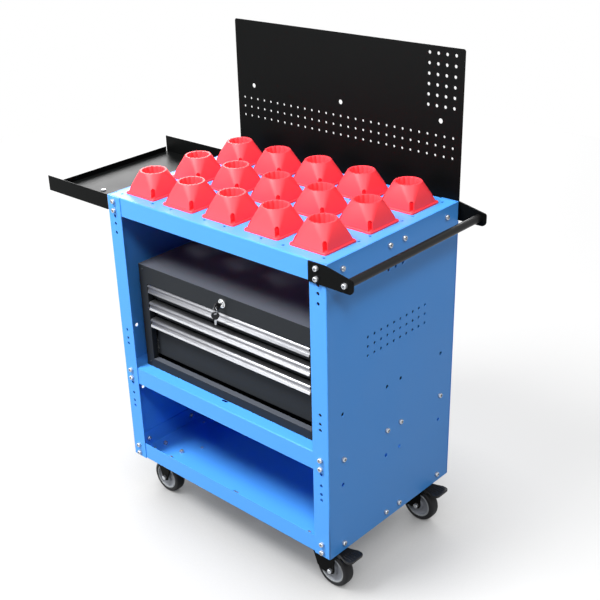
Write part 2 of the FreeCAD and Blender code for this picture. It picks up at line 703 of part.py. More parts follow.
def cross_pin(radius, x, z, head_r, head):
    """A pin across the fork with a six-sided head outside each leg."""
    shank = pin(radius, V(x, -fork_out, z), BACK, 2 * fork_out)
    heads = [prism(6, head_r, V(x, side * fork_out, z), BACK * side, head) for side in (-1, 1)]
    return only(shank.fuse(heads))


def wheel(x):
    """Core on the axle and the tyre around it."""
    centre = V(x, 0, WHEEL_R)
    hub = HUB_LENGTH / 2
    side = WHEEL_WIDTH / 2
    tread = TREAD_WIDTH / 2
    bore = pin_bore(AXLE_R, V(x, -hub, WHEEL_R), BACK, HUB_LENGTH)
    core = faceted([(CORE_R, -side), (CORE_R, side)], centre)
    hub_barrel = prism(8, HUB_R, V(x, -hub, WHEEL_R), BACK, HUB_LENGTH)
    tyre = faceted([(SHOULDER_R, -side), (WHEEL_R, -tread), (WHEEL_R, tread), (SHOULDER_R, side)], centre)
    return only(core.fuse(hub_barrel).cut(bore)), only(tyre.cut(core))


def fixed_fork():
    legs = fork_leg([(-FIXED_FORK_HALF, plate_under), (FIXED_FORK_HALF, plate_under)], 0, [])
    return only(top_plate().fuse(legs))


def swivel_fork():
    """Web under the swivel and two legs that lean back to the axle, with a heel behind it."""
    web = prism(12, FORK_WEB_R, V(0, 0, FORK_TOP - FORK_WEB), UP, FORK_WEB)
    knee_z = FORK_TOP - FORK_KNEE_DROP
    top = [(-SWIVEL_FORK_BACK, FORK_TOP), (SWIVEL_FORK_FRONT - FORK_SLANT, FORK_TOP),
           (SWIVEL_FORK_FRONT, PEDAL_PIN_Z - PEDAL_HUB), (CASTER_TRAIL + FORK_TIP_R, knee_z)]
    heel = [(FORK_HEEL_FOOT, WHEEL_R - FORK_TIP_R), (-FORK_HEEL_BACK, WHEEL_R),
            (FORK_SLANT - SWIVEL_FORK_BACK, knee_z)]
    legs = fork_leg(top, CASTER_TRAIL, heel)
    king_hole = pin_bore(KING_PIN_R, V(0, 0, WHEEL_R), UP, CASTER_HEIGHT)
    pedal_start = V(PEDAL_PIN_X, -FORK_GAP, PEDAL_PIN_Z)
    pedal_hole = prism(6, PEDAL_PIN_R + FORK_HOLE_GAP, pedal_start, BACK, 2 * FORK_GAP)
    return only(web.fuse(legs).cut([king_hole, pedal_hole]))


def swivel_plate():
    """Top plate with the upper race of the swivel below it."""
    race_under = FORK_TOP + END_CLEARANCE
    race = prism(12, RACE_R, V(0, 0, race_under), UP, plate_under - race_under)
    king_hole = pin_bore(KING_PIN_R, V(0, 0, WHEEL_R), UP, CASTER_HEIGHT)
    return only(top_plate().fuse(race).cut(king_hole))


def king_pin():
    """Pin down from the top plate, with a head just below the fork's web."""
    foot = FORK_TOP - FORK_WEB - END_CLEARANCE - KING_PIN_HEAD
    shank = pin(KING_PIN_R, V(0, 0, foot), UP, CASTER_HEIGHT - foot)
    return only(shank.fuse(prism(6, KING_PIN_HEAD_R, V(0, 0, foot), UP, KING_PIN_HEAD)))


def pedal():
    """Brake pedal: a hub on its pin, a shoe above the tyre and a flat tread that flares like a fish tail."""
    hub_low = PEDAL_PIN_Z - PEDAL_HUB
    hub_high = PEDAL_PIN_Z + PEDAL_HUB
    hub_back = PEDAL_PIN_X - PEDAL_HUB
    shoe_z = PEDAL_PIN_Z - SHOE_DEPTH
    shoe_x = PEDAL_PIN_X + SHOE_REACH
    root_z = hub_low + PEDAL_ROOT_RISE
    tip_x = PEDAL_PLAN[-1][0]
    tip_z = PEDAL_PIN_Z + PEDAL_RISE
    shoe = [(PEDAL_PIN_X + PEDAL_HUB, shoe_z + SHOE_SLANT), (shoe_x, shoe_z), (shoe_x + SHOE_BACK, root_z)]
    tip = [(tip_x, tip_z - PEDAL_THICKNESS), (tip_x, tip_z)]
    side = [(hub_back, hub_low)] + shoe + tip + [(hub_back, hub_high)]
    arm_half = fork_half - END_CLEARANCE
    half_plan = [(hub_back, arm_half), (PEDAL_NECK_X, arm_half)] + PEDAL_PLAN
    plan = half_plan + [(x, -half) for x, half in reversed(half_plan)]
    widest = max(half for x, half in PEDAL_PLAN)
    profile = bar(outline([(x, z, 0) for x, z in side]), RIGHT, UP, -widest, 2 * widest)
    footprint = bar(outline([(x, y, 0) for x, y in plan]), RIGHT, BACK, 0, CASTER_HEIGHT)
    bore = pin_bore(PEDAL_PIN_R, V(PEDAL_PIN_X, -FORK_GAP, PEDAL_PIN_Z), BACK, 2 * FORK_GAP)
    return only(profile.common(footprint).cut(bore))


swivel_plates = []
king_pins = []
for side, end in CORNERS:
    place = V(side * CASTER_X, end * CASTER_Y, 0)
    name = ("rear_" if end > 0 else "front_") + ("right_" if side > 0 else "left_")
    wheel_x = CASTER_TRAIL if side > 0 else 0
    core, tyre = wheel(wheel_x)
    save(name + "wheel_core", moved(core, place))
    save(name + "tyre", moved(tyre, place))
    axle = cross_pin(AXLE_R, wheel_x, WHEEL_R, AXLE_NUT_R, AXLE_NUT)
    save(name + "axle", moved(axle, place))
    if side < 0:
        save(name + "fork", moved(fixed_fork(), place))
        continue
    swivel_plates.append(moved(swivel_plate(), place))
    king_pins.append(moved(king_pin(), place))
    save(name + "fork", moved(swivel_fork(), place))
    save(name + "brake_pedal", moved(pedal(), place))
    pedal_pin = cross_pin(PEDAL_PIN_R, PEDAL_PIN_X, PEDAL_PIN_Z, PEDAL_PIN_HEAD_R, PEDAL_PIN_HEAD)
    save(name + "pedal_pin", moved(pedal_pin, place))
save("swivel_plates", *swivel_plates)
save("king_pins", *king_pins)
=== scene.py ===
import math

import bmesh
import bpy
from mathutils import Matrix, Vector


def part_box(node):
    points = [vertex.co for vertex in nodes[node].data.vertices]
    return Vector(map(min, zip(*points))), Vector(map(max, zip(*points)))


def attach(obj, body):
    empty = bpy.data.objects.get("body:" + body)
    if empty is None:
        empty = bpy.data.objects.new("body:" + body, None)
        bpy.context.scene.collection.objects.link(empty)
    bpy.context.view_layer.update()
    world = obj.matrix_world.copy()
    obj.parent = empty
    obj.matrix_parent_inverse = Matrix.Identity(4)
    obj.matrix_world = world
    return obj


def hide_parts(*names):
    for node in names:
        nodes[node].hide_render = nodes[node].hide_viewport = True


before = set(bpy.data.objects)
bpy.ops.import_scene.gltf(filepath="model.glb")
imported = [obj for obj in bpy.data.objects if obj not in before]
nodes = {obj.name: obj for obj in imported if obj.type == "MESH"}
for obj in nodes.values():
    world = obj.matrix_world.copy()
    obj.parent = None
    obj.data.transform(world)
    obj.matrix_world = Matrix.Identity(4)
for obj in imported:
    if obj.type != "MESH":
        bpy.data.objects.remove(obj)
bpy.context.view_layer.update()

# Side panels: two C-shaped sheets, folded at the front and the back, that carry everything else.
# 1.5 mm steel in blue powder coat; the holes are punched while the sheet is flat, then it is folded.
SHEET = 1.5
BEND = 2.5
FLANGE = 40.0
HALF_WIDTH = 300.0
HALF_DEPTH = 200.0
PANEL_FOOT, DECK_TOP = [corner.z * 1000 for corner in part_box("right_side_panel")]
SIDE_HOLE_R = 4.2
SIDE_HOLE_Y = (-158, -22, 22, 158)
SIDE_HOLE_DROPS = (320, 480)
ACCESSORY_Y = (-22, 0, 22)
ACCESSORY_DROP = 69
VENT_R = 3.2
VENT_PITCH = 20
VENT_COLUMNS = 10
VENT_CENTRE_Y = 7
VENT_DROPS = (186, 206, 226)
FLANGE_HOLE_R = 3.6
FLANGE_HOLE_DROPS = (43.5, 60, 80, 310, 330, 343.5, 443.5, 470, 490, 503.5)
X = Vector((1, 0, 0))
Y = Vector((0, 1, 0))
Z = Vector((0, 0, 1))
middle_x = sum(corner.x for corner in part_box("top_deck")) / 2


def spot(x, y, z):
    """Millimetres from the cabinet's middle on the floor, as a place in the row frame."""
    return Vector((middle_x + x / 1000, y / 1000, z / 1000))


def colour(text):
    """A colour written as sRGB hex, in the linear values that shaders take."""
    parts = [int(text[i:i + 2], 16) / 255 for i in (1, 3, 5)]
    return [c / 12.92 if c <= 0.04045 else ((c + 0.055) / 1.055) ** 2.4 for c in parts] + [1.0]


def add_node(tree, kind, inputs=(), **settings):
    """Adds one shader node; its inputs are pairs of a socket and a value or another node's output."""
    new = tree.nodes.new(kind)
    for key, value in settings.items():
        setattr(new, key, value)
    for key, value in inputs:
        if isinstance(value, bpy.types.NodeSocket):
            tree.links.new(value, new.inputs[key])
        else:
            new.inputs[key].default_value = value
    return new


def surface(name, base, roughness, sheen, grain_mm, relief_mm, metal=0.0, stretch=(1, 1, 1)):
    """A material with a fine grain, whose size and depth are in millimetres, and cloudy roughness.

    The grain of plating, plastic and paper is finer than a picture shows, so theirs is drawn coarser.
    """
    cloud_mm = 70
    uneven = 0.05
    material = bpy.data.materials.new(name)
    material.use_nodes = True
    tree = material.node_tree
    shader = tree.nodes["Principled BSDF"]
    shader.inputs["Base Color"].default_value = colour(base)
    shader.inputs["Metallic"].default_value = metal
    shader.inputs["Specular IOR Level"].default_value = sheen
    place = add_node(tree, "ShaderNodeTexCoord")
    scaled = add_node(tree, "ShaderNodeMapping", [("Vector", place.outputs["Object"]), ("Scale", stretch)])
    grain = add_node(tree, "ShaderNodeTexNoise", [("Vector", scaled.outputs[0]), ("Scale", 1000 / grain_mm)])
    bump = add_node(tree, "ShaderNodeBump", [("Height", grain.outputs[0]), ("Distance", relief_mm / 1000)])
    cloud = [("Vector", place.outputs["Object"]), ("Scale", 1000 / cloud_mm)]
    wear = add_node(tree, "ShaderNodeTexNoise", cloud)
    limits = [("Value", wear.outputs[0]), ("To Min", roughness - uneven), ("To Max", roughness + uneven)]
    spread = add_node(tree, "ShaderNodeMapRange", limits)
    tree.links.new(bump.outputs[0], shader.inputs["Normal"])
    tree.links.new(spread.outputs[0], shader.inputs["Roughness"])
    return material


def ring(radius, count, u=0.0, v=0.0, start=0.0):
    """Points round a circle, in millimetres."""
    angles = [start + 2 * math.pi * i / count for i in range(count)]
    return [(u + radius * math.cos(angle), v + radius * math.sin(angle)) for angle in angles]


def hole(u, v, radius, run=0.0):
    """A round hole, or a slot that runs so far along u; each starts at another angle, so no rims line up."""
    count = 18
    return [(x + math.copysign(run / 2, x - u), y) for x, y in ring(radius, count, u, v, u + 2 * v)]


def punched(outline, holes):
    """A flat sheet cut to an outline, with holes given as u, v, radius and maybe a run."""
    curve = bpy.data.curves.new("blank", "CURVE")
    curve.dimensions = "2D"
    curve.fill_mode = "BOTH"
    for loop in [outline] + [hole(*sizes) for sizes in holes]:
        spline = curve.splines.new("POLY")
        spline.points.add(len(loop) - 1)
        for point, (u, v) in zip(spline.points, loop):
            point.co = (u, v, 0, 1)
        spline.use_cyclic_u = True
    holder = bpy.data.objects.new("blank", curve)
    mesh = bpy.data.meshes.new_from_object(holder)
    work = bmesh.new()
    work.from_mesh(mesh)
    bpy.data.objects.remove(holder)
    bpy.data.meshes.remove(mesh)
    for face in work.faces:
        if face.normal.z < 0:
            face.normal_flip()
    return work


def developed(half, drop):
    """Where a point lies on the flat sheet that ends up so far down the flange past a fold."""
    return half + drop + BEND * (math.pi / 2 - 2)


def folded(work, halves, across, up, seat):
    """Folds the edges of a flat sheet down past its half sizes and turns the sheet to its place."""
    steps = 4
    for axis, half in enumerate(halves):
        way = (X, Y)[axis]
        for i in range(steps + 1):
            cut = half - BEND + i * BEND * math.pi / 2 / steps
            for side in (-1, 1):
                everything = work.verts[:] + work.edges[:] + work.faces[:]
                bmesh.ops.bisect_plane(work, geom=everything, plane_co=way * side * cut, plane_no=way)
    for face in work.faces:
        middle = face.calc_center_median()
        arcs = [abs(middle[axis]) - half + BEND for axis, half in enumerate(halves)]
        face.smooth = any(0 < arc < BEND * math.pi / 2 for arc in arcs)
    out = across.cross(up)
    for vert in work.verts:
        place = [vert.co.x, vert.co.y]
        drop = 0.0
        for axis, half in enumerate(halves):
            arc = abs(place[axis]) - half + BEND
            if arc > 0:
                turn = min(arc / BEND, math.pi / 2)
                drop += BEND * (1 - math.cos(turn)) + max(arc - BEND * math.pi / 2, 0)
                place[axis] = math.copysign(half - BEND + BEND * math.sin(turn), place[axis])
        vert.co = seat + (across * place[0] + up * place[1] - out * drop) / 1000
    return work


def piece(name, work, material, body, *stands_for):
    """Puts a finished mesh in the scene with its material, on its body, in place of CAD nodes."""
    mesh = bpy.data.meshes.new(name)
    work.to_mesh(mesh)
    work.free()
    mesh.materials.append(material)
    made = bpy.data.objects.new(name, mesh)
    bpy.context.scene.collection.objects.link(made)
    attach(made, body)
    if stands_for:
        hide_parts(*stands_for)
    return made


def thickened(made, sheet):
    """Gives a sheet its thickness on the inner side."""
    solid = made.modifiers.new("thickness", "SOLIDIFY")
    solid.thickness = sheet / 1000
    solid.offset = -1


def crisp(made, degrees=32):
    """Keeps real corners sharp and small steps smooth."""
    made.data.polygons.foreach_set("use_smooth", [True] * len(made.data.polygons))
    split = made.modifiers.new("corners", "EDGE_SPLIT")
    split.split_angle = math.radians(degrees)


# Satin blue powder coat: an even sky blue with a soft sheen that pales what lies flat.
blue_coat = surface("blue_powder_coat", "#4999EC", roughness=0.4, sheen=0.32, grain_mm=1.6, relief_mm=0.012)

flange_edge = developed(HALF_DEPTH, FLANGE)
panel_outline = [(-flange_edge, PANEL_FOOT), (flange_edge, PANEL_FOOT)]
panel_outline += [(flange_edge, DECK_TOP), (-flange_edge, DECK_TOP)]
side_holes = [(y, DECK_TOP - drop, SIDE_HOLE_R) for y in SIDE_HOLE_Y for drop in SIDE_HOLE_DROPS]
side_holes += [(y, DECK_TOP - ACCESSORY_DROP, SIDE_HOLE_R) for y in ACCESSORY_Y]
for column in range(VENT_COLUMNS):
    y = VENT_CENTRE_Y + (column - (VENT_COLUMNS - 1) / 2) * VENT_PITCH
    side_holes += [(y, DECK_TOP - drop, VENT_R) for drop in VENT_DROPS]
flange_middle = developed(HALF_DEPTH, FLANGE / 2)
flange_holes = [(flange_middle, DECK_TOP - drop, FLANGE_HOLE_R) for drop in FLANGE_HOLE_DROPS]
for side, name in ((1, "right"), (-1, "left")):
    holes = [(side * y, z, radius) for y, z, radius in side_holes]
    holes += [(-side * u, z, radius) for u, z, radius in flange_holes]
    blank = punched(panel_outline, holes)
    sheet = folded(blank, [HALF_DEPTH], Y * side, Z, spot(side * HALF_WIDTH, 0, 0))
    panel = piece(name + "_panel_sheet", sheet, blue_coat, "cart", name + "_side_panel")
    thickened(panel, SHEET)

# Deck and shelves: pans with four folded skirts, bolted between the side panels; the lowest one is
# turned over so that its skirts stand up. The same blue coat; the deck has spare screw holes.
PAN_X = HALF_WIDTH - SHEET
PAN_Y = HALF_DEPTH - SHEET
SKIRT = 40.0
RELIEF = 4.0
SHELF_DROP = 400
CUP_X = [-230, -115, 0, 115, 230]
CUP_Y = [-127, 0, 127]
CUP_HOLE_R = 26.0
SPARE_HOLE_R = 3.0
SPARE_HOLE_X = (27.5, 124.5, 179.5, 276.5)
SPARE_HOLE_Y = (178, 81, 48.5)
SLOT_R = 3.2
SLOT_RUN = 10
SLOT_X = -6
SHELF_SLOT_Y = -174
FLOOR_SLOT_Y = -159


def pan_outline():
    """The flat blank of a pan: a cross with cut-out corners."""
    u = developed(PAN_X, SKIRT)
    v = developed(PAN_Y, SKIRT)
    a = PAN_X - RELIEF
    b = PAN_Y - RELIEF
    quarter = [(u, b), (a, b), (a, v)]
    flips = [(1, 1, 1), (-1, 1, -1), (-1, -1, 1), (1, -1, -1)]
    return [(x * fx, y * fy) for fx, fy, way in flips for x, y in quarter[::way]]


spare_x = [side * x for side in (-1, 1) for x in SPARE_HOLE_X]
deck_holes = [(x, y, CUP_HOLE_R) for x in CUP_X for y in CUP_Y]
deck_holes += [(x, side * y, SPARE_HOLE_R) for x in spare_x for side in (-1, 1) for y in SPARE_HOLE_Y]
pans = [("deck_pan", DECK_TOP, 1, deck_holes, "top_deck"),
        ("shelf_pan", DECK_TOP - SHELF_DROP, 1, [(SLOT_X, SHELF_SLOT_Y, SLOT_R, SLOT_RUN)], "middle_shelf"),
        ("floor_pan", PANEL_FOOT, -1, [(SLOT_X, FLOOR_SLOT_Y, SLOT_R, SLOT_RUN)], "bottom_shelf")]
for name, level, way, holes, node in pans:
    blank = punched(pan_outline(), [(u, way * v, *sizes) for u, v, *sizes in holes])
    pan = piece(name, folded(blank, [PAN_X, PAN_Y], X, Y * way, spot(0, 0, level)), blue_coat, "cart", node)
    thickened(pan, SHEET)

# Back panel: a flat blue sheet over the rear flanges, from the foot to the hanging board.
# It is the CAD sheet itself with the coat, since a plain rectangle needs no more.
nodes["back_panel"].data.materials.clear()
nodes["back_panel"].data.materials.append(blue_coat)

# Bolts: zinc socket screws with round heads through every sheet joint, with nuts inside the cabinet.
# Each one is turned from the head's profile, with a six-sided socket, where the CAD has its head.
ROUND = 24
HEAD_R = 5.3
HEAD = 6.0
SOCKET = 2.7
SOCKET_DEPTH = 3.6
NUT = 4.8
NUT_HEIGHT = 4.6
NUT_EDGE = 0.4
SCREW_R = 2.9
SCREW_END = 7.0
SCREW_END_EDGE = 0.4
FLOOR_SCREW_R = 3.5
FLOOR_SCREWS = ((-191, -86), (-270, -6))


def islands(node):
    """The boxes of a node's separate solids, sorted so that each run makes them in the same order."""
    work = bmesh.new()
    work.from_mesh(nodes[node].data)
    bmesh.ops.remove_doubles(work, verts=work.verts, dist=1e-6)
    todo = set(work.verts)
    boxes = []
    while todo:
        group = [todo.pop()]
        for vert in group:
            near = [edge.other_vert(vert) for edge in vert.link_edges]
            group += [other for other in near if other in todo]
            todo.difference_update(near)
        boxes.append([Vector([pick(vert.co[i] for vert in group) for i in range(3)]) for pick in (min, max)])
    work.free()
    return sorted(boxes, key=lambda box: tuple(box[0]))


def skin(work, loops, matrix=Matrix.Identity(4), caps=True):
    """Adds a skin through loops of points in millimetres, with or without caps at its two ends."""
    rows = [[work.verts.new(matrix @ (Vector(point) / 1000)) for point in loop] for loop in loops]
    for near, far in zip(rows, rows[1:]):
        for i in range(len(near)):
            work.faces.new((near[i - 1], near[i], far[i], far[i - 1]))
    if caps:
        work.faces.new(rows[0][::-1])
        work.faces.new(rows[-1])


def stacked(stations, count=ROUND):
    """Round loops from pairs of height and radius."""
    return [[(x, y, height) for x, y in ring(radius, count)] for height, radius in stations]


def towards(place, way):
    """The matrix that puts a piece made along +Z at a place, pointing another way."""
    return Matrix.Translation(place) @ Z.rotation_difference(way).to_matrix().to_4x4()


def socket(size, height):
    """A six-sided loop with as many points as the round ones."""
    loop = []
    for i in range(ROUND):
        angle = 2 * math.pi * i / ROUND
        reach = size / math.cos(angle % (math.pi / 3) - math.pi / 6)
        loop.append((reach * math.cos(angle), reach * math.sin(angle), height))
    return loop


def socket_screw(work, place, way):
    """One head: a washer face, a straight side, a rounded edge and the socket."""
    loops = stacked([(0, HEAD_R - 0.4), (0.3, HEAD_R), (HEAD - 1.6, HEAD_R), (HEAD - 0.6, HEAD_R - 0.5),
                     (HEAD, HEAD_R - 1.6)])
    loops += [socket(SOCKET, HEAD), socket(SOCKET - 0.1, HEAD - SOCKET_DEPTH)]
    skin(work, loops, towards(place, way))


def screw_seats(node):
    """Where each head of a node sits and which way it points, read from its box."""
    seats = []
    for low, high in islands(node):
        size = high - low
        axis = min(range(3), key=lambda i: size[i])
        centre = (low + high) / 2
        way = Vector((0, 0, 0))
        way[axis] = 1 if axis == 2 or centre[axis] > (middle_x if axis == 0 else 0) else -1
        seats.append((centre - way * size[axis] / 2, way))
    return seats


# Bright zinc plating: pale silver with small sharp lights, a little milky.
zinc = surface("bright_zinc", "#C4C7CB", roughness=0.26, sheen=0.5,
               grain_mm=0.8, relief_mm=0.004, metal=0.75)
for node in ("frame_bolts", "caster_bolts", "handle_screws"):
    work = bmesh.new()
    for seat, way in screw_seats(node):
        socket_screw(work, seat, way)
    screws = piece(node + "_turned", work, zinc, "cart", node)
    crisp(screws)
work = bmesh.new()
for seat, way in screw_seats("frame_bolts"):
    nut = [socket(NUT, 0), socket(NUT, NUT_HEIGHT - NUT_EDGE), socket(NUT - NUT_EDGE, NUT_HEIGHT)]
    screw_end = stacked([(NUT_HEIGHT, SCREW_R), (SCREW_END - SCREW_END_EDGE, SCREW_R),
                         (SCREW_END, SCREW_R - 0.5)])
    skin(work, nut + screw_end, towards(seat - way * (2 * SHEET / 1000), -way))
nuts = piece("frame_nuts", work, zinc, "cart")
crisp(nuts)


def low_head(work, radius, place, way):
    """A small low screw or rivet head on a sheet."""
    shares = ((0, 1), (0.3, 1), (0.45, 0.7), (0.5, 0.3))
    stations = [(height * radius, reach * radius) for height, reach in shares]
    skin(work, stacked(stations), towards(place, way))


work = bmesh.new()
for x, y in FLOOR_SCREWS:
    low_head(work, FLOOR_SCREW_R, spot(x, y, PANEL_FOOT + SHEET), Z)
floor_screws = piece("floor_screws", work, zinc, "cart")
crisp(floor_screws)

# Hanging board: a black sheet behind the deck with a band of small holes, a block of larger ones
# and three hanging holes. Flat steel with rounded top corners, punched and coated black.
BOARD_CORNER = 5.0
BOARD_PITCH = 20
BAND_R = 2.5
BAND_X = range(-280, 281, BOARD_PITCH)
BAND_RISES = (83, 103, 123)
BLOCK_R = 3.25
BLOCK_X = range(220, 281, BOARD_PITCH)
BLOCK_RISES = range(181, 282, BOARD_PITCH)
HANG_R = 5.0
HANG_X = (-250, 0, 250)
HANG_RISE = 152.7
board_foot, board_top = [corner.z * 1000 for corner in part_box("peg_board")]
turns = (0, 0.39, 0.79, 1.18, 1.57)
arc = [(BOARD_CORNER * math.cos(turn), BOARD_CORNER * math.sin(turn)) for turn in turns]
rounding = [(HALF_WIDTH - BOARD_CORNER + u, board_top - BOARD_CORNER + v) for u, v in arc]
board_outline = [(-HALF_WIDTH, board_foot), (HALF_WIDTH, board_foot)]
board_outline += rounding + [(-x, z) for x, z in rounding[::-1]]
board_holes = [(x, DECK_TOP + rise, BAND_R) for x in BAND_X for rise in BAND_RISES]
board_holes += [(x, DECK_TOP + rise, BLOCK_R) for x in BLOCK_X for rise in BLOCK_RISES]
board_holes += [(x, DECK_TOP + HANG_RISE, HANG_R) for x in HANG_X]
board_sheet = folded(punched(board_outline, board_holes), [], X, Z, spot(0, HALF_DEPTH, 0))
# Satin black coat: near black, with a low broad sheen that greys where it faces the light.
black_coat = surface("black_powder_coat", "#0A0B0B", roughness=0.36, sheen=0.038,
                     grain_mm=1.4, relief_mm=0.012)
board = piece("punched_board", board_sheet, black_coat, "cart", "peg_board")
thickened(board, SHEET)

# Tool cups: fifteen moulded holders, a square foot that runs up into a round ring with a fluted bore.
# Coral red plastic, each screwed down through small pockets in its four corners.
FOOT = 44.0
FOOT_HEIGHT = 4.0
FOOT_CORNER = 5.0
FLANK = 41.5
FLANK_CORNER = 2.5
CUP_HEIGHT = 48.0
RING_R = 28.5
BORE_R = 23.0
BORE_EDGE = 0.6
RIM_EDGE = 0.8
FLUTE = 2.0
CORNER_STEPS = 12
POCKET_R = 4.2
POCKET_IN = 45.0
POCKET_OUT = 60.0
POCKET_FLOOR = 4.6
POCKET_SHOULDER = 19.0
POCKET_TOP = 22.0
POCKET_LEAN = 1.5
POCKET_TAPER = 0.45


def corner_loop(half, radius, height):
    """A square loop with rounded corners, each with the same number of points."""
    loop = []
    for quarter in range(4):
        turn = quarter * math.pi / 2
        for i in range(CORNER_STEPS + 1):
            angle = i * math.pi / 2 / CORNER_STEPS
            x = half - radius + radius * math.cos(angle)
            y = half - radius + radius * math.sin(angle)
            loop.append(Matrix.Rotation(turn, 3, "Z") @ Vector((x, y, height)))
    return loop


def cup_ring(radius, height, flute=0.0):
    """A round loop whose points pair with a square loop's corners; flutes deepen every third step."""
    loop = []
    for quarter in range(4):
        for i in range(CORNER_STEPS + 1):
            angle = (quarter + i / CORNER_STEPS) * math.pi / 2
            reach = radius + (flute if i % 3 == 1 else 0.0)
            loop.append((reach * math.cos(angle), reach * math.sin(angle), height))
    return loop


def tool_cup():
    """One cup as a mesh with its foot on the ground at the origin."""
    work = bmesh.new()
    loops = [corner_loop(FOOT, FOOT_CORNER, 0), corner_loop(FOOT, FOOT_CORNER, FOOT_HEIGHT - 1)]
    loops.append(corner_loop(FOOT - RIM_EDGE, FOOT_CORNER - 0.5, FOOT_HEIGHT))
    loops.append(corner_loop(FLANK, FLANK_CORNER, FOOT_HEIGHT))
    loops += [cup_ring(RING_R, CUP_HEIGHT - RIM_EDGE), cup_ring(RING_R - RIM_EDGE, CUP_HEIGHT)]
    loops.append(cup_ring(BORE_R + BORE_EDGE, CUP_HEIGHT, FLUTE))
    loops += [cup_ring(BORE_R, CUP_HEIGHT - RIM_EDGE, FLUTE), cup_ring(BORE_R, 0, FLUTE)]
    skin(work, loops + loops[:1], caps=False)
    bmesh.ops.remove_doubles(work, verts=work.verts, dist=1e-6)
    bmesh.ops.recalc_face_normals(work, faces=work.faces)
    return work


def corner_pockets():
    """The four cutters for a cup's screw pockets: upright slots with a round inner end."""
    work = bmesh.new()
    for quarter in range(4):
        turn = Matrix.Rotation(math.pi / 4 + quarter * math.pi / 2, 4, "Z")
        angles = [i * math.pi / 8 for i in range(9)]
        shape = [(POCKET_OUT, -POCKET_R), (POCKET_OUT, POCKET_R)]
        shape += [(POCKET_IN - POCKET_R * math.sin(a), POCKET_R * math.cos(a)) for a in angles]
        low = [(x, y, POCKET_FLOOR) for x, y in shape]
        high = [(x, y, POCKET_SHOULDER) for x, y in shape]
        top = [(x + POCKET_LEAN, y * POCKET_TAPER, POCKET_TOP) for x, y in shape]
        skin(work, [low, high, top], turn)
    bmesh.ops.recalc_face_normals(work, faces=work.faces)
    return work


# Coral plastic: a warm saturated red with pale soft lights on the rounded corners.
red_plastic = surface("coral_red_plastic", "#FF3E48", roughness=0.5, sheen=0.38,
                      grain_mm=0.9, relief_mm=0.01)
master = piece("cup_master", tool_cup(), red_plastic, "cart")
cutter = piece("cup_cutter", corner_pockets(), red_plastic, "cart")
pockets = master.modifiers.new("pockets", "BOOLEAN")
pockets.object = cutter
pockets.operation = "DIFFERENCE"
pockets.solver = "EXACT"
bpy.context.view_layer.update()
cup_mesh = bpy.data.meshes.new_from_object(master.evaluated_get(bpy.context.evaluated_depsgraph_get()))
bpy.data.objects.remove(master)
bpy.data.objects.remove(cutter)
for y, name in zip(CUP_Y, ("front", "middle", "back")):
    work = bmesh.new()
    for x in CUP_X:
        before = len(work.verts)
        work.from_mesh(cup_mesh)
        work.verts.ensure_lookup_table()
        bmesh.ops.translate(work, verts=work.verts[before:], vec=spot(x, y, DECK_TOP))
    cups = piece("cup_row_" + name, work, red_plastic, "cart", "tool_cups_" + name)
    crisp(cups, degrees=38)

# Side tray: a black sheet folded up on three sides and hung on the left panel by its inner flange.
# The CAD sheet with the board's coat and softened edges; one screw head shows on its floor.
SHEET_EDGE = 0.5
TRAY_FLOOR_DROP = 32
TRAY_SCREW_R = 6.0
TRAY_SCREW_X = -403
TRAY_SCREW_Y = -131


def softened(made, width):
    """Rounds a piece's edges by so many millimetres."""
    weld = made.modifiers.new("weld", "WELD")
    weld.merge_threshold = 1e-6
    edge = made.modifiers.new("edge", "BEVEL")
    edge.width = width / 1000
    edge.segments = 2
    edge.limit_method = "ANGLE"
    edge.angle_limit = math.radians(35)
    edge.harden_normals = True


def coat_nodes(material, width, *names):
    """Gives CAD nodes their finish and, where a width is given, softens their edges."""
    for name in names:
        nodes[name].data.materials.clear()
        nodes[name].data.materials.append(material)
        if width:
            softened(nodes[name], width)


coat_nodes(black_coat, SHEET_EDGE, "side_tray")
work = bmesh.new()
low_head(work, TRAY_SCREW_R, spot(TRAY_SCREW_X, TRAY_SCREW_Y, DECK_TOP - TRAY_FLOOR_DROP), Z)
tray_screw = piece("tray_screw", work, zinc, "cart")
crisp(tray_screw)

# Push handle: a round black bar between two black plates that share the deck's front and rear bolts.
# The CAD solids; the plates have the board's coat and broken edges, the bar is dipped and smoother.
coat_nodes(black_coat, SHEET_EDGE, "handle_plate_front", "handle_plate_rear")
# Dipped black paint: smooth, with a long grey light along the tube.
dipped_black = surface("dipped_black_paint", "#0D0D0E", roughness=0.4, sheen=0.22,
                       grain_mm=2.0, relief_mm=0.008)
coat_nodes(dipped_black, 0, "handle_bar")

# Drawer chest: a sheet box on the middle shelf with a framed front, wrinkle-black.
# The CAD shell with its own coarser finish, and a rivet at each corner of the frame.
CHEST_EDGE = 0.7
RIVET_R = 2.6
RIVET_X = 244
RIVET_INSET = 11
chest_low, chest_high = [corner * 1000 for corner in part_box("chest_shell")]
CHEST_FRONT = chest_low.y


def painted_top_light(material, lit_top_colour):
    """Turns a material's colour to a paler one, by so much as a face points up: painted light on the tops."""
    tree = material.node_tree
    base = tree.nodes["Principled BSDF"].inputs["Base Color"]
    facing = add_node(tree, "ShaderNodeNewGeometry")
    upward = add_node(tree, "ShaderNodeSeparateXYZ", [(0, facing.outputs["Normal"])])
    shares = [(0, upward.outputs["Z"]), (6, list(base.default_value)), (7, colour(lit_top_colour))]
    tree.links.new(add_node(tree, "ShaderNodeMix", shares, data_type="RGBA").outputs[2], base)
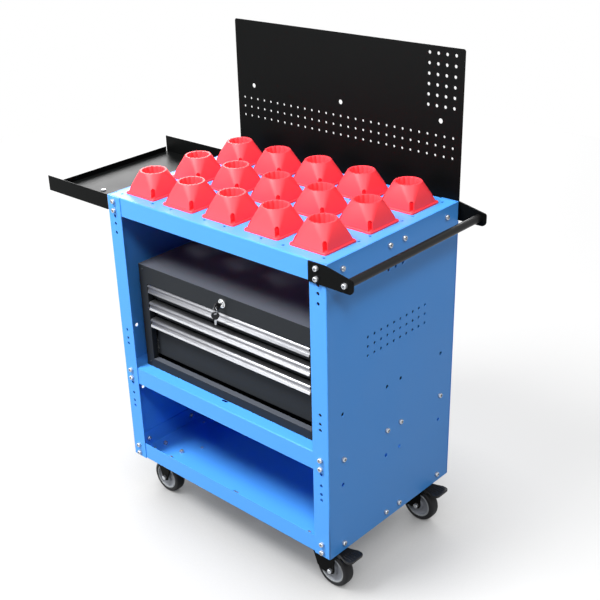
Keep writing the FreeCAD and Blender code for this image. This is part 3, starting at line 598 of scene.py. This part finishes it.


# Textured black coat: flat charcoal black, broken up by a fine wrinkle, with painted light paling what faces
# up.
wrinkle_black = surface("wrinkle_black_coat", "#212428", roughness=0.55, sheen=0.12,
                        grain_mm=1.1, relief_mm=0.05)
# Faces that point up are painted a paler grey, standing in for the light on the chest's lid.
painted_top_light(wrinkle_black, "#4B4F57")
coat_nodes(wrinkle_black, CHEST_EDGE, "chest_shell")
work = bmesh.new()
for x in (-RIVET_X, RIVET_X):
    for z in (chest_low.z + RIVET_INSET, chest_high.z - RIVET_INSET):
        low_head(work, RIVET_R, spot(x, CHEST_FRONT, z), -Y)
rivets = piece("chest_rivets", work, wrinkle_black, "cart")
crisp(rivets)

# Drawers: three folded trays on runners; each front carries an aluminium pull along its top edge.
# Fronts in the chest's black, slides in zinc, pulls in brushed aluminium, all CAD solids.
DRAWER_EDGE = 0.4
PULL_EDGE = 0.3
# Brushed aluminium: a cool pale metal drawn out along the pull's length.
aluminium = surface("brushed_aluminium", "#929397", roughness=0.42, sheen=0.5,
                    grain_mm=0.5, relief_mm=0.006, metal=1.0, stretch=(0.02, 1, 1))
coat_nodes(zinc, 0, "slide_posts", "slide_channels")
for number in ("1", "2", "3"):
    coat_nodes(wrinkle_black, DRAWER_EDGE, "drawer_" + number)
    coat_nodes(aluminium, PULL_EDGE, "drawer_" + number + "_pull")
    coat_nodes(zinc, 0, "drawer_" + number + "_runners")

# Lock: a chromed barrel and plug in the chest's top rail, turned by a key with a black plastic bow.
# A steel ring hangs loose in the bow's eye, on the lock's axis, and carries the spare key, so both
# stay hanging while the key turns.
LOCK_POINTS = 32
LOCK_DROP = 19
LOCK_Z = chest_high.z - LOCK_DROP
BOW_SHEET = 3.0
BOW_EDGE = 0.6
BOW_AT = 10.0
BOW_LONG = 8.0
BOW_WIDE = 8.4
NECK = 3.4
EYE_R = 3.2
EYE_ALONG = 13.0
KEY_OUT = 7
KEY_BLADE = 21
SPARE_BLADE = 14
BLADE_HALF = 2.4
BLADE_SHEET = 1.4
BLADE_GAP = 0.05
TEETH = 6
WIRE_R = 0.6
WIRE_POINTS = 8
LOOP_R = 5.5
LOOP_POINTS = 32
SPARE_TURN = -40
SPARE_TILT = -80
lock = spot(0, CHEST_FRONT, LOCK_Z)
# Chrome: a dark and bright mirror round the key.
chrome = surface("chrome", "#E4E6E8", roughness=0.12, sheen=0.5, grain_mm=1.0, relief_mm=0.001, metal=1.0)
work = bmesh.new()
bezel = [(-20, 6.2), (-20, 8), (0, 8), (0, 10), (1.6, 9.8), (2.6, 8.8), (3, 7.6), (2.4, 6.4), (1, 6.2)]
skin(work, stacked(bezel + bezel[:1], LOCK_POINTS), towards(lock, -Y), caps=False)
barrel = piece("lock_barrel_turned", work, chrome, "cart", "lock_barrel")
crisp(barrel)
work = bmesh.new()
plug_profile = [(-25, 6), (3.4, 6), (4, 5.4), (4, 1.2), (3.2, 1.0)]
skin(work, stacked(plug_profile, LOCK_POINTS), towards(lock, -Y))
plug = piece("lock_plug_turned", work, chrome, "lock_key", "lock_plug")
crisp(plug)
coat_nodes(zinc, 0, "lock_cam")
bow_angles = [i * 0.22 for i in range(-10, 11)]
bow_round = [(BOW_AT + BOW_LONG * math.cos(a), BOW_WIDE * math.sin(a)) for a in bow_angles]
bow_outline = [(0, -NECK)] + bow_round + [(0, NECK)]


def key_parts(matrix, blade_length):
    """A key's bow and its blade, with the blade along -X and the bow along +X, as two meshes."""
    bow = punched(bow_outline, [(EYE_ALONG, 0, EYE_R)])
    lifted = Matrix.Scale(0.001, 4) @ Matrix.Translation((0, 0, BOW_SHEET / 2))
    bmesh.ops.transform(bow, matrix=matrix @ lifted, verts=bow.verts)
    blade = bmesh.new()
    teeth = [(-BLADE_GAP, BLADE_HALF), (-4, BLADE_HALF)]
    for i in range(TEETH):
        near = -5 - i * (blade_length - 8) / TEETH
        left = 0.8 + 0.7 * (i % 2)
        teeth += [(near, 2.2), (near - 0.9, left), (near - 1.6, left)]
    teeth += [(-blade_length, 0.2), (-blade_length, -1.0)]
    teeth += [(-blade_length + 2, -BLADE_HALF), (-BLADE_GAP, -BLADE_HALF)]
    skin(blade, [[(x, y, side * BLADE_SHEET / 2) for x, y in teeth] for side in (-1, 1)], matrix)
    return bow, blade


# Black moulded plastic: soft dark grey-black with dull lights.
black_plastic = surface("black_moulded_plastic", "#1B1B1D", roughness=0.45, sheen=0.3,
                        grain_mm=0.7, relief_mm=0.02)
key_at = Matrix.Translation(spot(0, CHEST_FRONT - KEY_OUT, LOCK_Z))
upright = Matrix(((0, 0, 1, 0), (-1, 0, 0, 0), (0, 1, 0, 0), (0, 0, 0, 1)))
bow, blade = key_parts(key_at @ upright, KEY_BLADE)
key_bow = piece("key_bow", bow, black_plastic, "lock_key", "key")
key_blade = piece("key_blade", blade, zinc, "lock_key")
eye_y = CHEST_FRONT - KEY_OUT - EYE_ALONG
loop_z = LOCK_Z - EYE_R + WIRE_R - LOOP_R
work = bmesh.new()
wires = []
for i in range(LOOP_POINTS + 1):
    angle = 2 * math.pi * i / LOOP_POINTS
    reaches = [(LOOP_R + u, v) for u, v in ring(WIRE_R, WIRE_POINTS)]
    wires.append([(reach * math.cos(angle), v, reach * math.sin(angle)) for reach, v in reaches])
skin(work, wires, Matrix.Translation(spot(0, eye_y, loop_z)), caps=False)
bmesh.ops.remove_doubles(work, verts=work.verts, dist=1e-6)
bmesh.ops.recalc_face_normals(work, faces=work.faces)
key_ring = piece("key_ring", work, zinc, "cart")
hang = Matrix.Translation(spot(0, eye_y, loop_z - LOOP_R + WIRE_R - EYE_R))
tilted = Matrix.Rotation(math.radians(SPARE_TILT), 4, "Y")
turned = Matrix.Rotation(math.radians(SPARE_TURN), 4, "Z") @ tilted
bow, blade = key_parts(hang @ turned @ Matrix.Translation((-EYE_ALONG / 1000, 0, 0)), SPARE_BLADE)
spare_bow = piece("spare_key_bow", bow, black_plastic, "cart")
spare_blade = piece("spare_key_blade", blade, zinc, "cart")
for made in (key_bow, spare_bow):
    thickened(made, BOW_SHEET)
    softened(made, BOW_EDGE)
for made in (key_blade, spare_blade, key_ring):
    crisp(made)

# Casters: fixed forks on the left, swivel forks with brake pedals on the right, bolted under the floor pan.
# Pressed black forks are CAD solids; zinc axles end in six-sided nuts; wheels are grey nylon in black rubber.
WHEEL_POINTS = 64
AXLE_R = 4.0
AXLE_NUT_R = 5.6
AXLE_NUT_TIP_R = 4.4
AXLE_NUT = 6.0
AXLE_NUT_EDGE = 0.8
AXLE_SIDES = 6
PEDAL_EDGE = 1.0
PIN_EDGE = 0.2
PLATE_EDGE = 0.3
RIB_SHIFTS = (-12.8, -6.4, 0, 6.4, 12.8)
RIB_BACK = 26
RIB_TIP = 4
RIB_BACK_SUNK = 0.5
RIB_TIP_SUNK = 0.95
# Black rubber: a flat dark grey that barely shines.
rubber = surface("black_rubber", "#222224", roughness=0.6, sheen=0.2, grain_mm=0.9, relief_mm=0.04)
# Grey nylon: a mid grey, a little cloudy; the rim against the tyre is paler.
grey_core = surface("grey_nylon", "#84878E", roughness=0.5, sheen=0.3, grain_mm=1.2, relief_mm=0.03)
pale_rim = surface("pale_grey_nylon", "#A0A4A6", roughness=0.45, sheen=0.3, grain_mm=1.2, relief_mm=0.02)


def both_faces(half_profile):
    """A turned profile for the whole width from its near half, given as place along the axle and radius."""
    return half_profile + [(-y, radius) for y, radius in half_profile[::-1]]


tyre_profile = both_faces([(-11.5, 30), (-12.3, 31.2), (-12.5, 34.5), (-12.3, 36.4), (-11, 38.2),
                           (-8.6, 39.5), (-5, 40)])
core_profile = both_faces([(-11.5, 30), (-12.2, 29.4), (-12.2, 27.4), (-9.6, 26), (-8.6, 24.4), (-8.6, 14.6),
                           (-9.6, 13), (-13.5, 12), (-13.5, 4.2)])
rim_profile = [(-12.2, 29.8), (-12.6, 29.2), (-12.6, 27.2), (-11.9, 26.6)]
other_rim = [(-y, radius) for y, radius in rim_profile]
rib_profile = [(-1.6, -0.5), (-1.0, 1.0), (1.0, 1.0), (1.6, -0.5)]
for end in ("front", "rear"):
    for side in ("left", "right"):
        corner_name = end + "_" + side
        low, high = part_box(corner_name + "_tyre")
        hub = towards((low + high) / 2, Y)
        body = corner_name + "_wheel"
        carrier = "cart" if side == "left" else corner_name + "_swivel"
        tyre, core = corner_name + "_tyre", corner_name + "_wheel_core"
        turnings = [("_tyre_turned", [tyre_profile], rubber, "rubber", [tyre]),
                    ("_core_turned", [core_profile], grey_core, "grey_plastic", [core]),
                    ("_rim", [rim_profile, other_rim], pale_rim, "grey_plastic", [])]
        for ending, profiles, material, slot_name, stands_for in turnings:
            work = bmesh.new()
            for profile in profiles:
                skin(work, stacked(profile + profile[:1], WHEEL_POINTS), hub, caps=False)
            bmesh.ops.remove_doubles(work, verts=work.verts, dist=1e-6)
            bmesh.ops.recalc_face_normals(work, faces=work.faces)
            made = piece(corner_name + ending, work, material, body, *stands_for)
            crisp(made, degrees=40)
        coat_nodes(black_coat, SHEET_EDGE, corner_name + "_fork")
        low, high = [corner * 1000 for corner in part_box(corner_name + "_axle")]
        half = (high.y - low.y) / 2
        work = bmesh.new()
        nut = [(-half, AXLE_NUT_TIP_R), (AXLE_NUT_EDGE - half, AXLE_NUT_R), (AXLE_NUT - half, AXLE_NUT_R)]
        axle_profile = both_faces(nut + [(AXLE_NUT - half, AXLE_R)])
        skin(work, stacked(axle_profile, AXLE_SIDES), hub)
        axle = piece(corner_name + "_axle_turned", work, zinc, carrier, corner_name + "_axle")
        crisp(axle)
        if side == "left":
            continue
        coat_nodes(black_plastic, PEDAL_EDGE, corner_name + "_brake_pedal")
        coat_nodes(zinc, PIN_EDGE, corner_name + "_pedal_pin")
        low, high = [corner * 1000 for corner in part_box(corner_name + "_brake_pedal")]
        work = bmesh.new()
        for shift in RIB_SHIFTS:
            y = (low.y + high.y) / 2 + shift
            tip_x = high.x - RIB_TIP - abs(shift) / 8
            ends = [(high.x - RIB_BACK, high.z - RIB_BACK_SUNK), (tip_x, high.z - RIB_TIP_SUNK)]
            skin(work, [[(x, y + a, z + b) for a, b in rib_profile] for x, z in ends])
        bmesh.ops.recalc_face_normals(work, faces=work.faces)
        ribs = piece(corner_name + "_pedal_ribs", work, black_plastic, corner_name + "_pedal")
coat_nodes(black_coat, PLATE_EDGE, "swivel_plates")
coat_nodes(zinc, 0, "king_pins")

# Studio: a plain pale floor with a painted shadow under the cart, a soft key high at the front left, weak
# fills from the front, the right and beside the camera, and a broad panel behind on the left that the deck
# and the tray mirror. The camera stands where the photograph's did.
FLOOR_HALF_M = 3
SHADE_REACH_M = 0.3
PAPER_GLOW = 0.68
SKY_LIGHT = 0.03
SKY_SEEN = 1.0
floor_mesh = bpy.data.meshes.new("studio_floor")
work = bmesh.new()
bmesh.ops.create_grid(work, x_segments=1, y_segments=1, size=FLOOR_HALF_M)
work.to_mesh(floor_mesh)
work.free()
floor = bpy.data.objects.new("studio_floor", floor_mesh)
bpy.context.scene.collection.objects.link(floor)
# Studio paper: an even white glow, darkened to a painted soft grey shadow where the cart stands close over
# it.
floor_paper = surface("studio_paper", "#7C7C7C", roughness=0.9, sheen=0.0, grain_mm=3.0, relief_mm=0.01)
floor_shader = floor_paper.node_tree.nodes["Principled BSDF"]
floor_shader.inputs["Emission Color"].default_value = colour("#FFFFFF")
floor_mesh.materials.append(floor_paper)


def softbox(name, place, aim, width, height, power):
    """A rectangular area light that faces a point; places and sizes in metres, power in watts."""
    data = bpy.data.lights.new(name, "AREA")
    data.shape = "RECTANGLE"
    data.size = width
    data.size_y = height
    data.energy = power
    lamp = bpy.data.objects.new(name, data)
    bpy.context.scene.collection.objects.link(lamp)
    lamp.location = place
    lamp.rotation_mode = "QUATERNION"
    lamp.rotation_quaternion = (Vector(aim) - Vector(place)).to_track_quat("-Z", "Y")


softbox("key", (-0.82, -2.0, 4.04), (0.07, -0.1, 0.4), 1.35, 1.35, 308)
softbox("low_front", (-1.9, -3.42, 0.85), (0.07, 0, 0.45), 1.6, 1.0, 52)
softbox("right", (2.86, -0.5, 3.43), (0.07, 0, 0.6), 1.2, 1.2, 48)
softbox("beside_camera", (2.14, -2.07, 3.43), (0.07, 0, 0.7), 0.8, 0.8, 48)
softbox("behind", (-2.9, 3.0, 2.25), (0.0, 0, 0.7), 3.6, 1.8, 180)

world = bpy.data.worlds.new("studio")
bpy.context.scene.world = world
world.use_nodes = True
sky = world.node_tree


def when_seen(tree, hidden, shown):
    """One level for the light that falls on things, another for what the eye and mirrors see."""
    path = add_node(tree, "ShaderNodeLightPath")
    seen = path.outputs["Is Camera Ray"]
    for kind in ("Is Glossy Ray", "Is Transmission Ray"):
        both = [(0, seen), (1, path.outputs[kind])]
        seen = add_node(tree, "ShaderNodeMath", both, operation="ADD").outputs[0]
    levels = [("Value", seen), ("To Min", hidden), ("To Max", shown)]
    return add_node(tree, "ShaderNodeMapRange", levels).outputs[0]


sky.nodes["Background"].inputs["Color"].default_value = colour("#FFFFFF")
sky.links.new(when_seen(sky, SKY_LIGHT, SKY_SEEN), sky.nodes["Background"].inputs["Strength"])
paper_tree = floor_paper.node_tree
# Occlusion dims the floor's glow: a painted shadow under and around the cart.
painted_floor_shadow = add_node(paper_tree, "ShaderNodeAmbientOcclusion", [("Distance", SHADE_REACH_M)])
factors = [(0, when_seen(paper_tree, 0.0, PAPER_GLOW)), (1, painted_floor_shadow.outputs["AO"])]
glow = add_node(paper_tree, "ShaderNodeMath", factors, operation="MULTIPLY")
paper_tree.links.new(glow.outputs[0], floor_shader.inputs["Emission Strength"])

lens = bpy.data.cameras.new("camera")
lens.lens = 63.31
lens.shift_x = 0.0912
lens.shift_y = 0.0378
camera = bpy.data.objects.new("camera", lens)
bpy.context.scene.collection.objects.link(camera)
camera.location = spot(1394.9, -1468.3, 1469.5)
camera.rotation_euler = [math.radians(angle) for angle in (63.596, 2.679, 44.410)]
bpy.context.scene.camera = camera
bpy.context.scene.view_settings.view_transform = "Standard"
